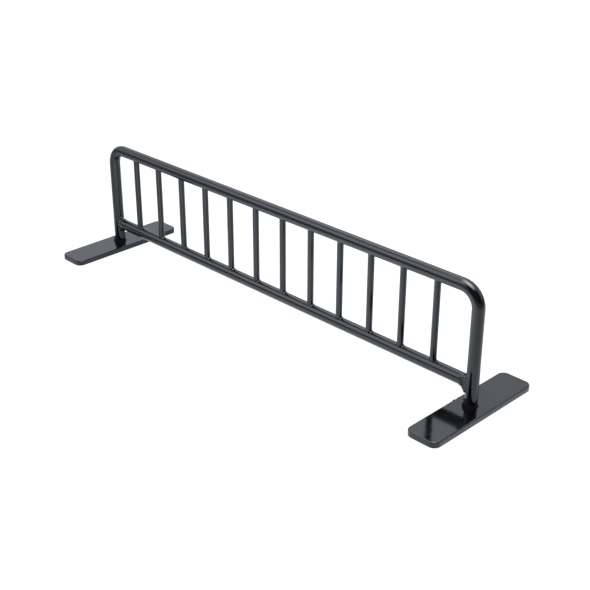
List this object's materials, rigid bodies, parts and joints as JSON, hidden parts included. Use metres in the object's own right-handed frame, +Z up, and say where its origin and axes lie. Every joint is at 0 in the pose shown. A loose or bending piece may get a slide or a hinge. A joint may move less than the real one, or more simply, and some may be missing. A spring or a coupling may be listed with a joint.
{
  "type": "miniature barrier rail",
  "caption": "Miniature barrier rail: a bent rod frame with a lower rail and a row of thin balusters, welded to flat feet and finished in gloss black.",
  "frame": {"origin": "on the surface that the feet stand on, midway between the two posts", "axes": "+X along the rail, +Y across it along the feet, +Z up"},
  "size_m": [0.2986, 0.0776, 0.0685],
  "materials": {
    "rod_coat": "gloss black coating on round steel rod",
    "plate_coat": "gloss black coating on flat steel bar",
    "weld_coat": "gloss black coating over weld metal"
  },
  "bodies": {
    "root": {"top_hoop": "rod_coat", "lower_rail": "rod_coat", "foot_plate_left": "plate_coat", "foot_plate_right": "plate_coat", "baluster_01": "rod_coat", "baluster_02": "rod_coat", "baluster_03": "rod_coat", "baluster_04": "rod_coat", "baluster_05": "rod_coat", "baluster_06": "rod_coat", "baluster_07": "rod_coat", "baluster_08": "rod_coat", "baluster_09": "rod_coat", "baluster_10": "rod_coat", "baluster_11": "rod_coat", "baluster_12": "rod_coat", "foot_weld_left": "weld_coat", "foot_weld_right": "weld_coat", "rail_weld_left": "weld_coat", "rail_weld_right": "weld_coat", "baluster_top_weld_01": "weld_coat", "baluster_top_weld_02": "weld_coat", "baluster_top_weld_03": "weld_coat", "baluster_top_weld_04": "weld_coat", "baluster_top_weld_05": "weld_coat", "baluster_top_weld_06": "weld_coat", "baluster_top_weld_07": "weld_coat", "baluster_top_weld_08": "weld_coat", "baluster_top_weld_09": "weld_coat", "baluster_top_weld_10": "weld_coat", "baluster_top_weld_11": "weld_coat", "baluster_top_weld_12": "weld_coat", "baluster_bottom_weld_01": "weld_coat", "baluster_bottom_weld_02": "weld_coat", "baluster_bottom_weld_03": "weld_coat", "baluster_bottom_weld_04": "weld_coat", "baluster_bottom_weld_05": "weld_coat", "baluster_bottom_weld_06": "weld_coat", "baluster_bottom_weld_07": "weld_coat", "baluster_bottom_weld_08": "weld_coat", "baluster_bottom_weld_09": "weld_coat", "baluster_bottom_weld_10": "weld_coat", "baluster_bottom_weld_11": "weld_coat", "baluster_bottom_weld_12": "weld_coat"}
  },
  "joints": []
}
